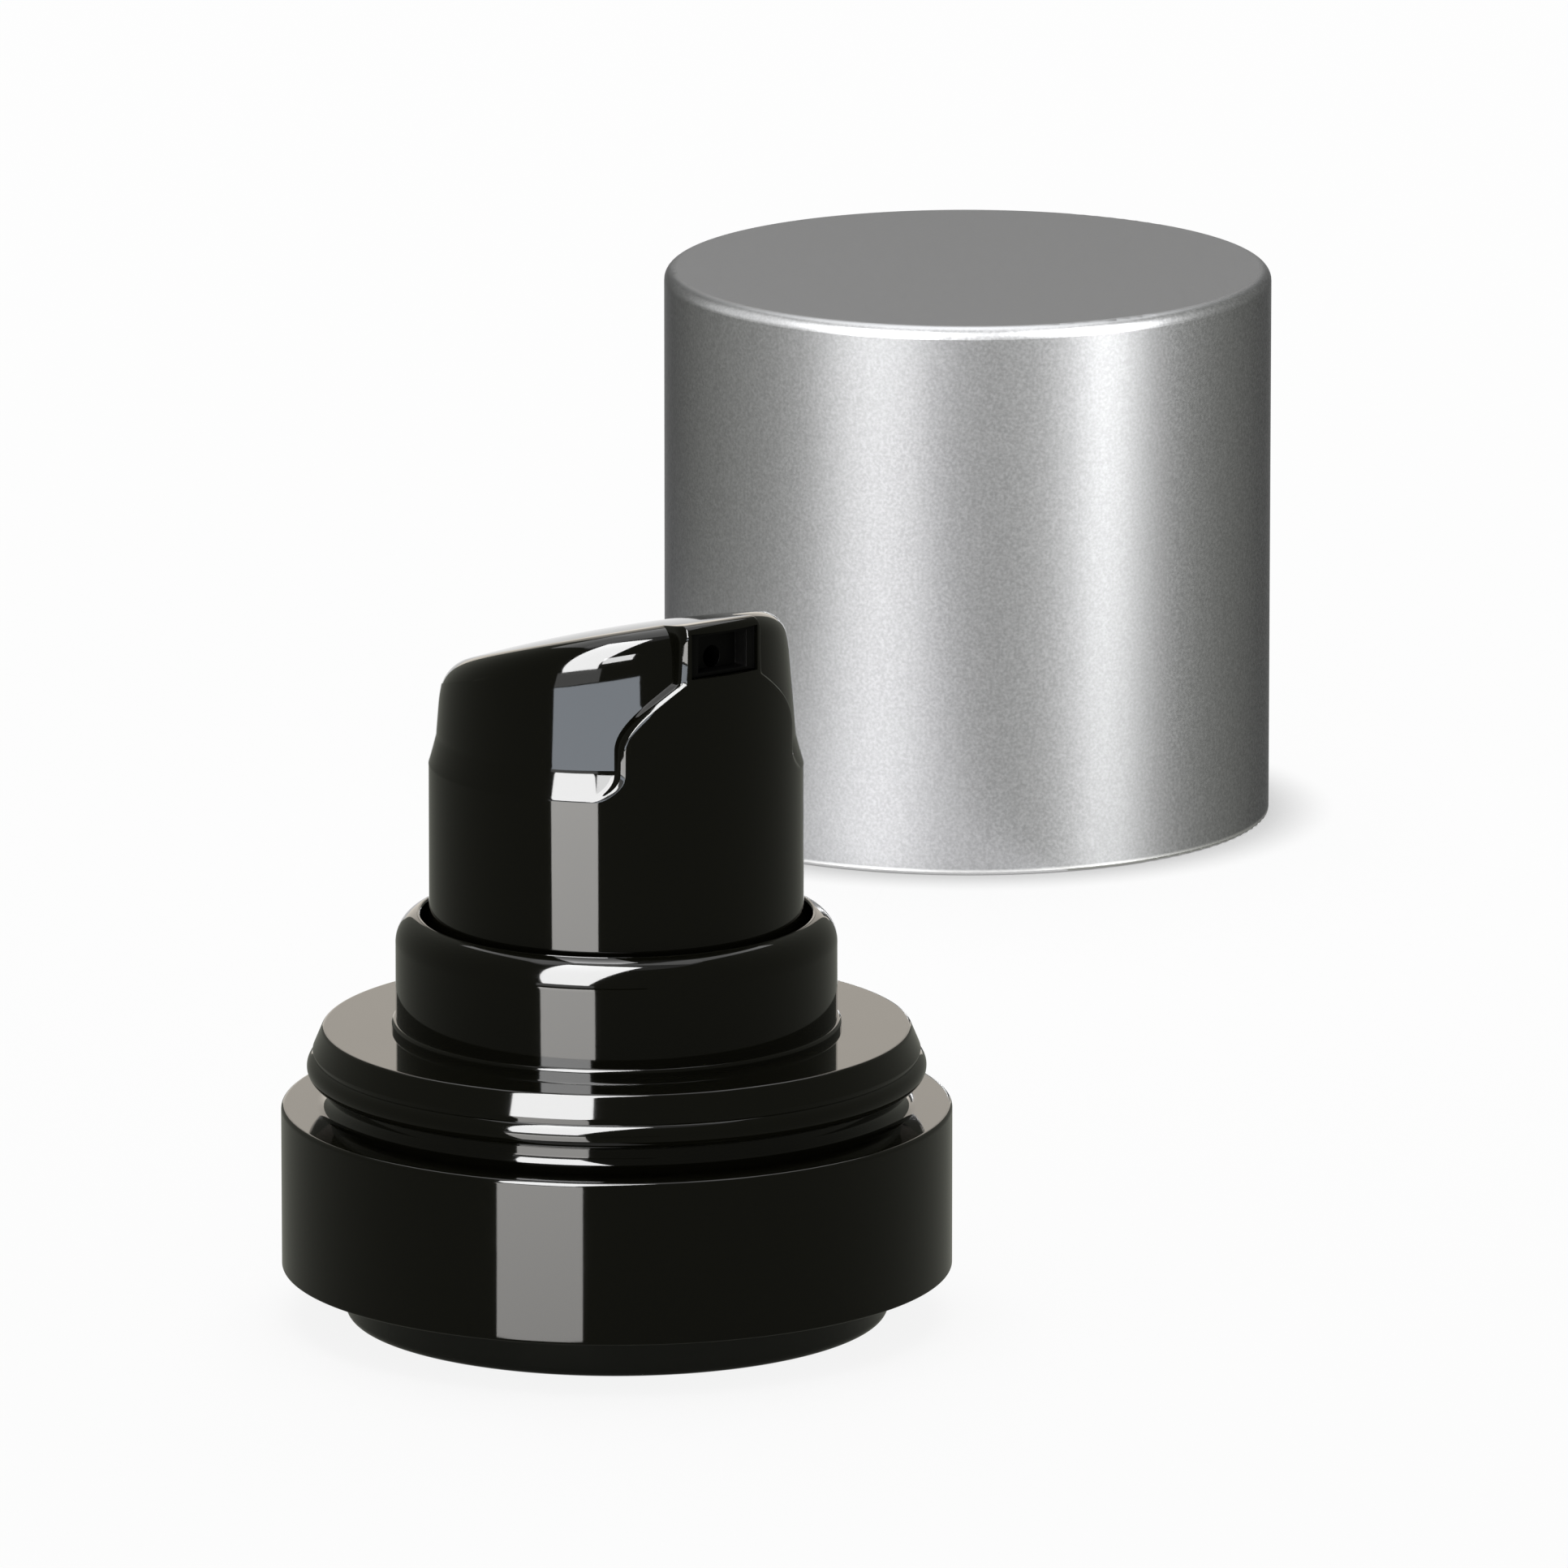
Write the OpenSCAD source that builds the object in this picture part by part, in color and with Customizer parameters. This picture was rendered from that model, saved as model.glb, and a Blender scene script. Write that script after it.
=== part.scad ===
// Airless pump head for a cosmetic bottle, standing on its own plug, with its metal-covered cap beside it.
// Millimetres. The origin is on the pump's axis, on the surface that the plug stands on.
// The nozzle looks along -Y, and +Z is up.

/* [Closure collar] */
// Outer diameter of the collar, the bottle and the cap
body_d = 40; // [38:0.5:44]
// Height of the collar's outer wall
ring_h = 9.9; // [9:0.1:11]
// Thickness of the collar's outer wall
ring_wall = 1.3; // [1.1:0.1:1.4]
// Thickness of the collar's flat ledge
ledge_t = 1.5; // [1.2:0.1:1.8]
// Gap between the snap bead and the inside of the cap
bead_gap = 0.15; // [0.1:0.05:0.2]
// Depth of the snap groove below the bead
groove_depth = 1.45; // [1.2:0.05:1.6]
// Height of the bead's middle above the flat ledge
bead_rise = 2.3; // [2.2:0.05:2.5]
// How far the edge of the collar's top face stands in from the bead
flange_in = 0.85; // [0.6:0.05:1]
// Height of the collar's top face above the flat ledge
flange_rise = 4.65; // [4.4:0.05:5]
// Wall between the neck and the hollow inside the collar
neck_wall = 1.4; // [1.2:0.1:1.8]

/* [Guide sleeve] */
// Gap between the button and the sleeve that it slides in
button_gap = 0.5; // [0.3:0.05:0.6]
// Wall of the sleeve
sleeve_wall = 1.5; // [1.3:0.1:1.6]
// Height of the sleeve above the collar's top face
sleeve_h = 7; // [6.8:0.1:7.2]
// Height of the ring at the sleeve's foot
foot_h = 0.5; // [0.4:0.1:0.8]
// How far the foot ring stands out from the sleeve
foot_out = 0.25; // [0.15:0.05:0.4]

/* [Bottle plug] */
// Width of the channel between plug and collar, which takes the bottle's neck
channel_w = 2.5; // [2.2:0.1:2.8]
// How far the plug reaches below the collar
plug_drop = 2.95; // [2.5:0.05:3.5]
// Wall of the plug
plug_wall = 1.2; // [1:0.1:1.5]
// Thickness of the disc that carries the pump
disc_t = 1.6; // [1.4:0.1:1.8]
// Thickness of the bottle gasket
gasket_t = 1; // [0.8:0.1:1.2]

/* [Pump] */
// Stroke of the button
stroke = 5.8; // [5:0.1:6]
// How far the piston lags behind the stem
piston_slip = 0.7; // [0.5:0.1:0.8]
// Bore of the pump chamber
chamber_bore_d = 7.4; // [7.2:0.1:7.8]
// Wall of the pump chamber
chamber_wall = 0.9; // [0.8:0.1:1]
// Length of the piston
piston_h = 3.2; // [3:0.1:3.4]
// Outer diameter of the hollow stem
stem_d = 3.8; // [3.7:0.1:4]
// Bore of the hollow stem
stem_bore_d = 2; // [1.8:0.1:2.2]
// Diameter of the inlet ball
ball_d = 3; // [2.8:0.1:3.1]
// How far the inlet ball lifts
ball_lift = 0.6; // [0.5:0.1:0.8]
// Diameter of the spring wire
wire_d = 0.55; // [0.5:0.05:0.6]
// Mean diameter of the spring's coils
coil_d = 6.6; // [6.4:0.1:6.8]
// Number of coils in the spring
coils = 6.5; // [6:0.5:7]
// Length of the spring at rest
spring_len = 10.6; // [10.4:0.1:11]

/* [Button] */
// Diameter of the button's skirt
button_d = 22.3; // [22:0.1:22.5]
// Wall of the button's skirt
skirt_wall = 1.2; // [1:0.1:1.3]
// How deep the skirt sits in the sleeve
skirt_depth = 3.8; // [3.4:0.1:4.2]
// Height of the button's step above the sleeve
step_rise = 9.1; // [8.7:0.1:9.5]
// How far the upper body is set in from the skirt
inset = 0.45; // [0.4:0.05:0.6]
// Height of the hollow curve between skirt and upper body
cove_h = 1.9; // [1.7:0.1:2.1]
// Height of the button's top above the step, at the axis
crown_rise = 8.2; // [8:0.1:8.6]
// Tilt of the button's top, in degrees
top_tilt = 15.6; // [15:0.2:17]
// Radius of the gentle dome that the top has
dome_r = 80; // [60:5:120]
// Rounding between side and top at the front of the button
rim_front_r = 2; // [1.7:0.1:2.2]
// Rounding between side and top at the back of the button
rim_back_r = 3; // [2.6:0.1:3.2]
// Rounding between the nozzle panel and the top
panel_rim_r = 0.7; // [0.6:0.1:0.9]
// Half the angle that the nozzle panel takes beside the nozzle, in degrees
panel_top_a = 13.8; // [13.6:0.2:15]
// Half the angle that the nozzle panel takes at its foot, in degrees
panel_foot_a = 33; // [31:0.5:35]
// Height of the nozzle's middle above the step
nozzle_rise = 8.55; // [8.45:0.05:8.65]
// How far the nozzle insert stands back in the panel
nozzle_recess = 0.5; // [0.3:0.05:0.6]
// Width of the nozzle insert
nozzle_w = 4.8; // [4.6:0.1:4.9]
// Height of the nozzle insert
nozzle_h = 2.7; // [2.5:0.1:2.8]
// Width of the nozzle's opening
mouth_w = 3.5; // [3:0.1:3.7]
// Height of the nozzle's opening
mouth_h = 2.2; // [1.9:0.1:2.2]

/* [Cap] */
// Height of the cap
cap_h = 36.5; // [35:0.5:40]
// Thickness of the cap's metal shell
shell_t = 0.5; // [0.4:0.05:0.6]
// Wall of the cap's plastic liner
liner_wall = 0.9; // [0.8:0.05:0.9]
// Thickness of the liner's top
liner_top = 1.2; // [1:0.1:1.5]
// Rounding of the cap's top edge
cap_edge_r = 0.8; // [0.6:0.1:1]
// Distance from the pump's axis to the cap's axis, along X
cap_x = 97; // [60:1:120]
// Distance from the pump's axis to the cap's axis, along Y
cap_y = 94; // [60:1:120]

/* [Hidden] */
$fn = 96;

// Clearances
run = 0.05;
seat = 0.1;
part_gap = 0.3;

// How far a cut runs past its piece, and how far two lumps of one piece run into each other
over = 1;
lap = 0.05;
bite = 0.1;

// Levels of the closure, from the floor up
ring_z0 = plug_drop;
ring_z1 = ring_z0 + ring_h;
web_z = ring_z1 - ledge_t;
disc_z = web_z - disc_t;
bead_z = ring_z1 + bead_rise;
flange_z = ring_z1 + flange_rise;
sleeve_z = flange_z + sleeve_h;
step_z = sleeve_z + step_rise;

// Radii of the closure
body_r = body_d / 2;
skirt_in_r = body_r - ring_wall;
cap_shell_in_r = body_r - shell_t;
liner_in_r = cap_shell_in_r - liner_wall;
bead_r = liner_in_r - bead_gap;
neck_r = bead_r - groove_depth;
hollow_r = neck_r - neck_wall;
flange_r = bead_r - flange_in;
button_r = button_d / 2;
sleeve_bore_r = button_r + button_gap;
sleeve_r = sleeve_bore_r + sleeve_wall;
spigot_wall = 0.8;
spigot_r = sleeve_bore_r + spigot_wall;
plug_r = skirt_in_r - channel_w;

// Roundings of the closure
edge_r = 0.25;
cove_r = 1.2;
bead_round = 0.8;
shoulder_out = 0.5;
shoulder_rise = 1.05;
bead_foot = 1.05;
bead_slope_a = 60;
flange_t = 1.4;
sleeve_round = 1.4;
plug_round = 0.5;
plug_bead_r = 0.4;
plug_bead_out = 0.25;
plug_bead_drop = 1;

// Pump chamber, from its floor up
chamber_z0 = 0.8;
chamber_floor_t = 1;
chamber_r = chamber_bore_d / 2;
chamber_out_r = chamber_r + chamber_wall;
inlet_r = 1.1;
ball_r = ball_d / 2;
well_gap = 0.5;
well_r = ball_r + well_gap;
ball_seat_z = chamber_z0 + chamber_floor_t;
ball_z = ball_seat_z + sqrt(ball_r * ball_r - inlet_r * inlet_r) + seat;
retainer_t = 0.6;
retainer_z = ball_z + ball_r + ball_lift + seat;
head_t = 1;
head_z = retainer_z + retainer_t + part_gap + stroke;
piston_z = head_z + head_t + seat;
chamber_top_z = piston_z + piston_h + piston_slip + 2 * seat;
pump_flange_t = 1;
pump_flange_out = 2;
pump_flange_r = chamber_out_r + pump_flange_out;
pad_t = 0.6;
lid_t = 1.2;
lid_wall = 0.9;
lid_skirt = 3;
lid_boss_h = 0.8;
spring_boss_gap = 0.6;
lid_top_z = chamber_top_z + lid_t;

// Stem and spring
stem_r = stem_d / 2;
stem_bore_r = stem_bore_d / 2;
spring_seat_z = lid_top_z;
collar_z = spring_seat_z + spring_len;
collar_t = 1;
collar_r = 4.3;
stem_above = 4;
stem_top_z = collar_z + collar_t + stem_above;
snap_z = collar_z + collar_t + stem_above / 2;
snap_h = 0.5;
snap_out = 0.15;
snap_r = stem_r + snap_out;
port_r = 0.5;
coil_r = coil_d / 2;
wire_r = wire_d / 2;
coil_rings = 8;
wire_sides = 6;

// Button
skirt_z = sleeve_z - skirt_depth;
skirt_bore_r = button_r - skirt_wall;
core_z = collar_z + collar_t + 2 * seat;
core_t = 1;
core_top_z = core_z + core_t;
column_r = 3.2;
upper_wall = 1.35;
roof_in = 0.4;
side_taper = 0.08;
nozzle_face = button_r - nozzle_recess;
nozzle_z = step_z + nozzle_rise;
nozzle_depth = 3;
face_depth = 1.5;
tenon_w = 3.2;
tenon_h = 2.9;
tenon_drop = 1.3;
duct_r = 1;
duct_bore_r = 0.6;
duct_rise = 6;
duct_z = core_top_z + duct_rise;
duct_drop = 1.4;

// Cap
liner_top_z = cap_h - shell_t;
cap_bead_r = 0.35;
cap_bead_out = 0.25;
cap_bead_drop = 1.3;

// The part of a ring's half section between two radii and two heights
module band(r0, r1, z0, z1) {
    translate([r0, z0])
        square([r1 - r0, z1 - z0]);
}

// What rounding by radius e takes off a corner at (r, z); sr and sz say which way the corner points
module corner_cut(r, z, e, sr, sz) {
    translate([r, z])
        mirror([sr > 0 ? 1 : 0, 0])
            mirror([0, sz > 0 ? 1 : 0])
                difference() {
                    translate([-over, -over])
                        square([e + over, e + over]);
                    translate([e, e])
                        circle(r = e);
                    translate([e, -over])
                        square([over, e + over]);
                    translate([-over, e])
                        square([e + over, over]);
                }
}

// A fillet of radius e in an inner corner at (r, z) that opens outwards and upwards
module fillet(r, z, e) {
    translate([r, z])
        difference() {
            translate([-bite, -bite])
                square([e + bite, e + bite]);
            translate([e, e])
                circle(r = e);
        }
}

// Collar: outer wall, flat ledge, snap groove, snap bead, sloping shoulder and top face, in one moulding
module collar() {
    color("#14140f")
        rotate_extrude()
            difference() {
                union() {
                    band(hollow_r, neck_r, web_z, flange_z - flange_t);
                    fillet(neck_r, ring_z1, cove_r);
                    difference() {
                        band(hollow_r, body_r, ring_z0, ring_z1);
                        corner_cut(body_r, ring_z1, edge_r, 1, 1);
                        corner_cut(body_r, ring_z0, edge_r, 1, -1);
                    }
                    translate([bead_r - bead_round, bead_z])
                        circle(r = bead_round);
                    polygon([
                        [hollow_r, bead_z - bead_foot],
                        [neck_r, bead_z - bead_foot],
                        [bead_r - bead_round * (1 - cos(bead_slope_a)), bead_z - bead_round * sin(bead_slope_a)],
                        [flange_r + shoulder_out - bite, bead_z + bead_round / 2],
                        [flange_r + shoulder_out, bead_z + shoulder_rise],
                        [flange_r, flange_z - edge_r],
                        [flange_r - edge_r, flange_z],
                        [hollow_r, flange_z]
                    ]);
                    translate([flange_r - edge_r, flange_z - edge_r])
                        circle(r = edge_r);
                    band(spigot_r, hollow_r + bite, flange_z - flange_t, flange_z);
                }
                band(-over, skirt_in_r, ring_z0 - over, web_z);
                band(-over, spigot_r, ring_z0 - over, flange_z + over);
            }
}

// Guide sleeve: a round-topped tube whose foot ring stands on the collar and whose spigot goes through it
module guide_sleeve() {
    color("#15150f")
        rotate_extrude()
            union() {
                difference() {
                    band(sleeve_bore_r, sleeve_r, flange_z, sleeve_z);
                    corner_cut(sleeve_r, sleeve_z, sleeve_round, 1, 1);
                    corner_cut(sleeve_bore_r, sleeve_z, edge_r, -1, 1);
                }
                difference() {
                    band(sleeve_bore_r, sleeve_r + foot_out, flange_z, flange_z + foot_h);
                    corner_cut(sleeve_r + foot_out, flange_z + foot_h, foot_out * 0.9, 1, 1);
                }
                band(sleeve_bore_r, spigot_r, web_z, flange_z + foot_h);
            }
}

// Bottle plug: the skirt that goes into the bottle, its snap bead, and the disc that carries the pump
module bottle_plug() {
    snap_bead_z = disc_z - gasket_t - plug_bead_drop;
    color("#191a15")
        rotate_extrude()
            union() {
                difference() {
                    band(plug_r - plug_wall, plug_r, 0, disc_z + bite);
                    corner_cut(plug_r, 0, plug_round, 1, -1);
                    corner_cut(plug_r - plug_wall, 0, edge_r, -1, -1);
                }
                translate([plug_r + plug_bead_out - plug_bead_r, snap_bead_z])
                    circle(r = plug_bead_r);
                band(chamber_out_r + run, skirt_in_r - run, disc_z, web_z);
            }
}

// Bottle gasket: the flat ring that the bottle's mouth presses against
module bottle_gasket() {
    color("#e9e8e2")
        rotate_extrude()
            band(plug_r + run, skirt_in_r - seat - run, disc_z - gasket_t, disc_z);
}

// Chamber gasket: the flat ring between the pump's flange and the disc
module chamber_gasket() {
    color("#d9d8d0")
        rotate_extrude()
            band(chamber_out_r + run, pump_flange_r, web_z, web_z + pad_t);
}

// Pump chamber: a cup with the inlet hole and ball seat in its floor, hung by its flange
module pump_chamber() {
    color("#eceae4")
        difference() {
            union() {
                translate([0, 0, chamber_z0])
                    cylinder(r = chamber_out_r, h = chamber_top_z - chamber_z0);
                translate([0, 0, web_z + pad_t])
                    cylinder(r = pump_flange_r, h = pump_flange_t);
            }
            translate([0, 0, chamber_z0 - over])
                cylinder(r = inlet_r, h = chamber_floor_t + 2 * over);
            translate([0, 0, ball_seat_z])
                cylinder(r = well_r, h = chamber_top_z);
            translate([0, 0, retainer_z])
                cylinder(r = chamber_r, h = chamber_top_z);
        }
}

// Chamber cap: closes the chamber, guides the stem and carries the foot of the spring
module chamber_cap() {
    lid_r = chamber_out_r + run + lid_wall;
    spring_boss_r = coil_r - wire_r - spring_boss_gap;
    color("#e4e2da")
        rotate_extrude()
            difference() {
                union() {
                    band(stem_r + run, lid_r, chamber_top_z, lid_top_z);
                    band(chamber_out_r + run, lid_r, lid_top_z - lid_skirt, lid_top_z);
                    band(stem_r + run, spring_boss_r, lid_top_z - bite, lid_top_z + lid_boss_h);
                }
                corner_cut(spring_boss_r, lid_top_z + lid_boss_h, edge_r, 1, 1);
            }
}

// Ball retainer: a ring with a cross over the ball, pressed into the chamber's floor
module ball_retainer() {
    bar_w = 0.6;
    color("#dcdad2")
        translate([0, 0, retainer_z])
            union() {
                difference() {
                    cylinder(r = chamber_r, h = retainer_t);
                    translate([0, 0, -over])
                        cylinder(r = well_r, h = retainer_t + 2 * over);
                }
                for (turn = [0, 90])
                    rotate([0, 0, turn])
                        translate([-well_r - bite, -bar_w / 2, 0])
                            cube([2 * (well_r + bite), bar_w, retainer_t]);
            }
}

// Inlet ball: lifts off its seat as the chamber fills
module inlet_ball() {
    color("#c9ccd0")
        translate([0, 0, ball_z])
            sphere(r = ball_r);
}

// Stem: hollow tube with inlet ports at its foot, the collar that the spring lifts, and a snap ring at its top
module stem() {
    port_z = piston_z + 1;
    color("#efeee9")
        difference() {
            union() {
                translate([0, 0, head_z + head_t])
                    cylinder(r = stem_r, h = stem_top_z - head_z - head_t);
                translate([0, 0, collar_z])
                    cylinder(r = collar_r, h = collar_t);
                translate([0, 0, snap_z])
                    cylinder(r = snap_r, h = snap_h);
            }
            translate([0, 0, head_z])
                cylinder(r = stem_bore_r, h = stem_top_z);
            for (turn = [0, 90])
                rotate([0, 0, turn])
                    translate([-stem_d, 0, port_z])
                        rotate([0, 90, 0])
                            cylinder(r = port_r, h = 2 * stem_d);
        }
}

// Piston rod: the valve head below the piston, with a grooved shank pressed into the stem
module piston_rod() {
    head_gap = 0.7;
    head_r = chamber_r - head_gap;
    shank_h = 5;
    groove_r = 0.35;
    color("#dfe0dc")
        difference() {
            union() {
                translate([0, 0, head_z])
                    cylinder(r = head_r, h = head_t);
                translate([0, 0, head_z])
                    cylinder(r = stem_bore_r, h = head_t + shank_h);
            }
            for (turn = [45:90:315])
                rotate([0, 0, turn])
                    translate([stem_bore_r, 0, head_z + head_t])
                        cylinder(r = groove_r, h = shank_h + over);
        }
}

// Piston: a hub that rides on the stem, with a sealing lip at each end
module piston() {
    hub_wall = 0.75;
    disc_h = 0.8;
    disc_z0 = (piston_h - disc_h) / 2;
    lip_t = 0.5;
    lip_h = 1;
    hub_r = stem_r + hub_wall;
    seal_r = chamber_r - run;
    color("#f3f2ee")
        translate([0, 0, piston_z])
            rotate_extrude()
                union() {
                    band(stem_r + run, hub_r, 0, piston_h);
                    band(hub_r - bite, seal_r, disc_z0, disc_z0 + disc_h);
                    band(seal_r - lip_t, seal_r, disc_z0 - lip_h, disc_z0 + disc_h + lip_h);
                }
}

// Spring: one unbroken tube of wire along a helix, its ends laid on the chamber cap and the stem's collar
spring_turns = coils;
spring_steps = round(coils * coil_rings);
spring_rise = spring_len - wire_d - 2 * run;
spring_pitch = spring_rise / spring_turns;
function helix(a) = [
    coil_r * cos(a * 360),
    coil_r * sin(a * 360),
    spring_seat_z + run + wire_r + spring_pitch * a
];
function wire_ring(a) = [
    for (k = [0:wire_sides - 1])
        let (q = 360 * k / wire_sides, out = wire_r * cos(q), up = wire_r * sin(q))
            helix(a) + [out * cos(a * 360), out * sin(a * 360), up]
];
spring_points = [for (n = [0:spring_steps]) each wire_ring(n / coil_rings)];
function ring_faces(n) = [
    for (k = [0:wire_sides - 1])
        let (a = n * wire_sides + k, b = n * wire_sides + (k + 1) % wire_sides)
            each [[a, b + wire_sides, b], [a, a + wire_sides, b + wire_sides]]
];
spring_faces = concat(
    [for (k = [1:wire_sides - 2]) [0, k, k + 1]],
    [for (n = [0:spring_steps - 1]) each ring_faces(n)],
    [for (k = [1:wire_sides - 2])
        let (b = spring_steps * wire_sides) [b, b + k + 1, b + k]]
);
near_turns = [
    for (n = [0:spring_steps], m = [n + coil_rings - 2:min(n + coil_rings + 2, spring_steps)])
        if (m <= spring_steps) norm(helix(n / coil_rings) - helix(m / coil_rings)) - wire_d
];
echo(spring_least_gap = min(near_turns));
module return_spring() {
    color("#b9bcc0")
        polyhedron(points = spring_points, faces = spring_faces, convexity = 4);
}

// Button's outer skin. Its columns run from the middle of the nozzle panel round to the back,
// so the panel's curved edge is one line of the mesh, and its rows climb the side and cross the top.
panel_cols = 6;
edge_cols = 3;
back_cols = 20;
half_cols = panel_cols + edge_cols + back_cols;
cols = 2 * half_cols;
side_rows = 16;
edge_rows = 6;
crown_rows = 4;
blend_from = 0.8;
edge_a = 2;
panel_corner_gap = 0.3;
panel_corner_h = nozzle_rise - nozzle_h / 2 - panel_corner_gap;
panel_bend_h = 3.9;
panel_lean_a = 0.3;
panel_flare_h = 1.6;
panel_flare_a = 7.5;
cove_arc_r = (cove_h * cove_h + inset * inset) / (2 * inset);
crown_z = step_z + crown_rise;
skin_in = 0.03;
foot_r = button_r - skin_in;
skin_sink = 0.6;

function smooth(x) = let (q = max(0, min(1, x))) q * q * (3 - 2 * q);
function top_z(r, a) = crown_z + tan(top_tilt) * r * cos(a) - r * r / (2 * dome_r);
function top_slope(r, a) = tan(top_tilt) * cos(a) - r / dome_r;
function cove_in(z) = z >= step_z + cove_h
    ? inset
    : inset - cove_arc_r + sqrt(max(0, pow(cove_arc_r, 2) - pow(step_z + cove_h - z, 2)));
function body_side_r(z) = foot_r - cove_in(z) - side_taper * max(0, z - step_z - cove_h);
function side_r(z, raised) = body_side_r(z) + (foot_r - body_side_r(z)) * raised;
function panel_a(z) =
    let (h = z - step_z, bend = max(0, min(1, (panel_corner_h - h) / panel_bend_h)))
        panel_top_a
        - panel_lean_a * max(0, min(h, crown_rise) - panel_corner_h)
        + (panel_foot_a - panel_top_a) * sin(90 * bend)
        + panel_flare_a * pow(max(0, panel_flare_h - h) / panel_flare_h, 2);
function mirror_col(c) = c <= half_cols ? c : cols - c;
function raised(c) = c <= panel_cols ? 1 : 1 - smooth((c - panel_cols) / edge_cols);
function col_a(c, z) =
    let (a = panel_a(z))
        c <= panel_cols ? a * c / panel_cols
        : c <= panel_cols + edge_cols ? a + edge_a * (c - panel_cols) / edge_cols
        : a + edge_a + (180 - a - edge_a) * (c - panel_cols - edge_cols) / back_cols;
function top_a(c) = col_a(c, crown_z);
function rim_r(c) =
    let (body_rim_r = rim_front_r + (rim_back_r - rim_front_r) * smooth(top_a(c) / 180))
        body_rim_r + (panel_rim_r - body_rim_r) * raised(c);
function edge_end(c) = 90 + atan(top_slope(button_r - rim_r(c), top_a(c)));
function edge_in_r(c) =
    let (z = top_z(button_r - rim_r(c) / 2, top_a(c)) - rim_r(c) / 2)
        side_r(z, raised(c)) - rim_r(c);
function edge_end_r(c) = edge_in_r(c) + rim_r(c) * cos(edge_end(c));
function edge_mid_z(c) = top_z(edge_end_r(c), top_a(c)) - rim_r(c) * sin(edge_end(c));
function polar(r, a, z, flip) = [flip * r * sin(a), -r * cos(a), z];
function side_point(c, j, flip) =
    let (z = step_z + (edge_mid_z(c) - step_z) * j / side_rows,
         blend = smooth((j / side_rows - blend_from) / (1 - blend_from)),
         r = side_r(z, raised(c)) * (1 - blend) + (edge_in_r(c) + rim_r(c)) * blend)
        polar(r, col_a(c, z), z, flip);
function edge_point(c, j, flip) =
    let (q = edge_end(c) * j / edge_rows)
        polar(edge_in_r(c) + rim_r(c) * cos(q), top_a(c), edge_mid_z(c) + rim_r(c) * sin(q), flip);
function crown_point(c, j, flip) =
    let (r = edge_end_r(c) * (1 - j / crown_rows))
        polar(r, top_a(c), top_z(r, top_a(c)), flip);
function skin_row(j) = [
    for (n = [0:cols - 1])
        let (c = mirror_col(n), flip = n <= half_cols ? 1 : -1)
            j == 0 ? polar(foot_r, col_a(c, step_z), step_z - skin_sink, flip)
            : j <= side_rows + 1 ? side_point(c, j - 1, flip)
            : j <= side_rows + edge_rows + 1 ? edge_point(c, j - side_rows - 1, flip)
            : crown_point(c, j - side_rows - edge_rows - 1, flip)
];
skin_rows = side_rows + edge_rows + crown_rows;
skin_points = concat([for (j = [0:skin_rows]) each skin_row(j)], [[0, 0, crown_z], [0, 0, step_z - skin_sink]]);
function skin_quad(j, n) =
    let (a = j * cols + n, b = j * cols + (n + 1) % cols)
        [[a, b + cols, b], [a, a + cols, b + cols]];
skin_faces = concat(
    [for (j = [0:skin_rows - 1], n = [0:cols - 1]) each skin_quad(j, n)],
    [for (n = [0:cols - 1]) [skin_rows * cols + (n + 1) % cols, skin_rows * cols + n, (skin_rows + 1) * cols]],
    [for (n = [0:cols - 1]) [n, (n + 1) % cols, (skin_rows + 1) * cols + 1]]
);

// The hollow inside the button: round, and roofed by a slope under the tilted top
module button_hollow() {
    roof_r = button_r - inset - upper_wall - roof_in;
    roof_drop = upper_wall / cos(top_tilt) + roof_r * roof_r / (2 * dome_r);
    translate([0, 0, skirt_z - over])
        cylinder(r = skirt_bore_r, h = core_top_z - skirt_z + over);
    intersection() {
        translate([0, 0, core_top_z - 0.1])
            cylinder(r = roof_r, h = crown_rise + step_z);
        translate([0, 0, crown_z - roof_drop])
            rotate([-top_tilt, 0, 0])
                translate([-2 * button_r, -2 * button_r, -4 * button_r])
                    cube([4 * button_r, 4 * button_r, 4 * button_r]);
    }
}

// A block across the nozzle, with its middle at height z, from s0 to s1 ahead of the axis
module nozzle_block(w, h, z, s0, s1) {
    translate([-w / 2, -s1, z - h / 2])
        cube([w, s1 - s0, h]);
}

// The way that the product takes from the middle of the button up to the nozzle
duct_start = [0, 0, duct_z];
duct_end = [0, -(nozzle_face - nozzle_depth), nozzle_z - duct_drop];
duct_len = norm(duct_end - duct_start);
duct_tilt = acos((duct_end[2] - duct_start[2]) / duct_len);
tenon_z = nozzle_z - tenon_drop;
module slanted_duct(r, h) {
    translate(duct_start)
        rotate([duct_tilt, 0, 0])
            cylinder(r = r, h = h);
}

// Button shell: skirt, hollow-curved step, inset upper body with a tilted top, and the raised nozzle panel
module button_shell() {
    color("#12120d")
        difference() {
            union() {
                translate([0, 0, skirt_z])
                    cylinder(r = button_r, h = step_z - lap - skirt_z);
                polyhedron(points = skin_points, faces = skin_faces, convexity = 4);
            }
            button_hollow();
            nozzle_block(nozzle_w, nozzle_h, nozzle_z, nozzle_face - face_depth, button_r + over);
            nozzle_block(tenon_w, tenon_h, tenon_z, nozzle_face - nozzle_depth, nozzle_face - face_depth + lap);
        }
}

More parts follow.
